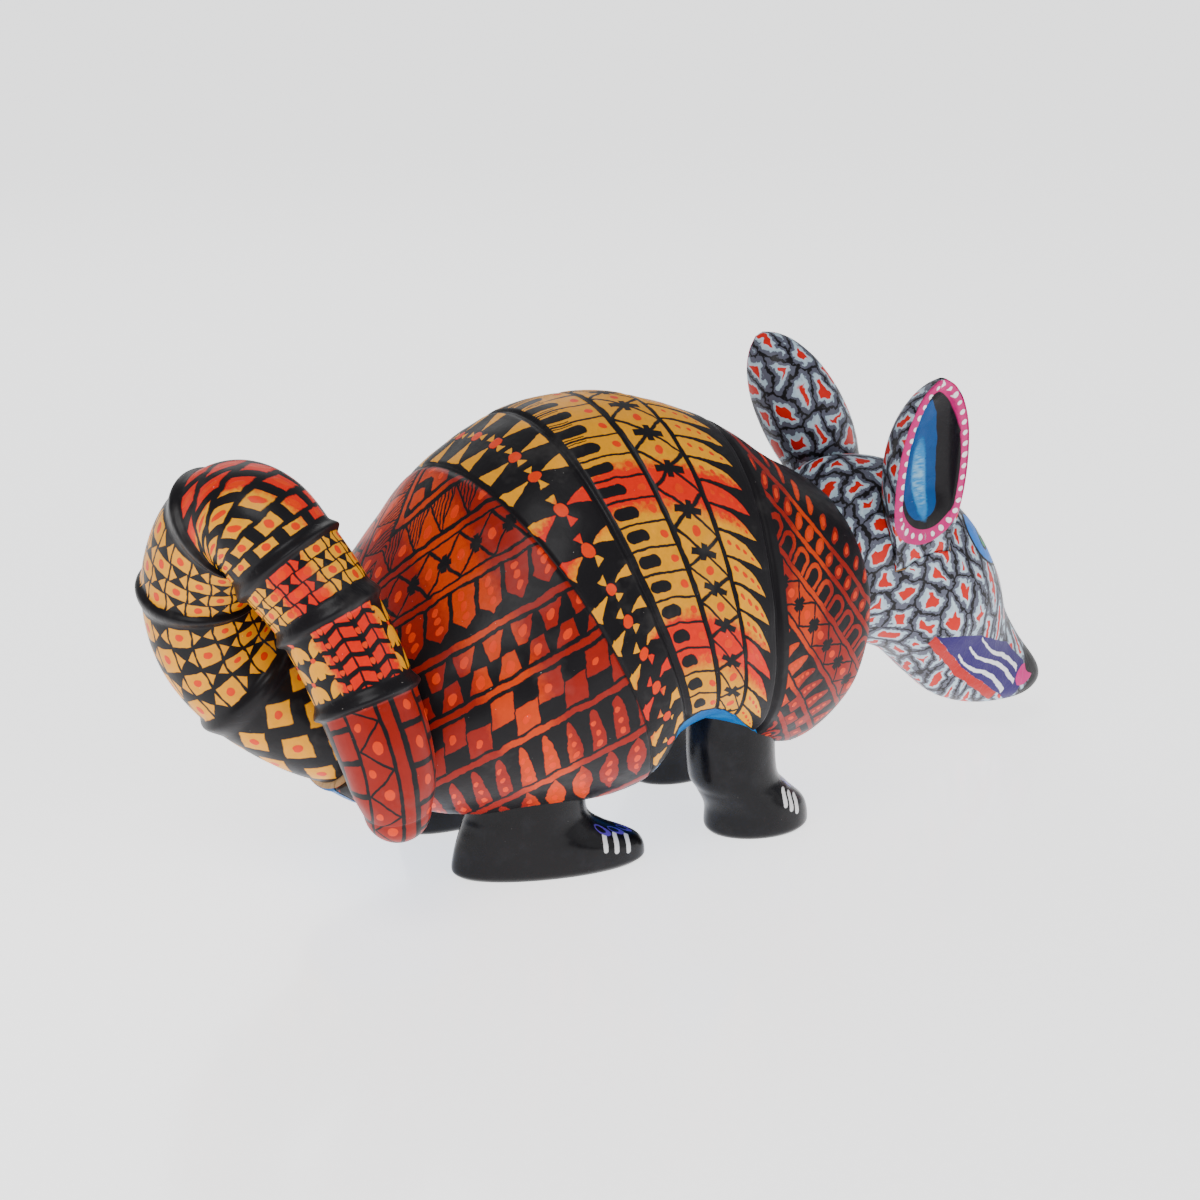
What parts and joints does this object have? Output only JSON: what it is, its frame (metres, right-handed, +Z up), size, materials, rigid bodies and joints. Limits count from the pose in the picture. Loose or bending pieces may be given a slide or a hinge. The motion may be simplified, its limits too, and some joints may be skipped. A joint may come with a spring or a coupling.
{
  "type": "alebrije figure",
  "caption": "Carved and painted wooden armadillo with a banded shell, curled ringed tail, hanging head, upright ears and short black legs.",
  "frame": {"origin": "centre of the figure's plan, on the surface it stands on", "axes": "+X towards the head, +Y to the animal's left, +Z up"},
  "size_m": [0.2288, 0.0906, 0.102],
  "materials": {
    "shell_paint": "satin acrylic paint on carved wood, black ground with yellow, red, orange and brick patterns, blue belly",
    "tail_paint": "satin acrylic paint on carved wood, black ground with yellow, red and brick patterns",
    "head_paint": "satin acrylic paint on carved wood, grey cells with black outlines and red centres",
    "leg_paint": "glossy black acrylic paint on carved wood",
    "bare_wood": "bare turned softwood dowel"
  },
  "bodies": {
    "figure": {"body": "shell_paint", "head": "head_paint", "right_front_leg": "leg_paint", "left_front_leg": "leg_paint", "right_hind_leg": "leg_paint", "left_hind_leg": "leg_paint", "neck_dowel": "bare_wood", "right_front_dowel": "bare_wood", "left_front_dowel": "bare_wood", "right_hind_dowel": "bare_wood", "left_hind_dowel": "bare_wood"},
    "tail_plug": {"tail": "tail_paint", "tail_dowel": "bare_wood"},
    "right_ear_plug": {"right_ear": "head_paint", "right_ear_peg": "bare_wood"},
    "left_ear_plug": {"left_ear": "head_paint", "left_ear_peg": "bare_wood"}
  },
  "joints": [
    {"name": "tail_pull", "type": "slide", "parent": "figure", "child": "tail_plug", "axis": [-0.8988, 0, 0.4384], "range_m": [0, 0.03]},
    {"name": "right_ear_pull", "type": "slide", "parent": "figure", "child": "right_ear_plug", "axis": [-0.0505, -0.1954, 0.9794], "range_m": [0, 0.02]},
    {"name": "left_ear_pull", "type": "slide", "parent": "figure", "child": "left_ear_plug", "axis": [-0.4136, 0.2056, 0.8869], "range_m": [0, 0.02]}
  ]
}
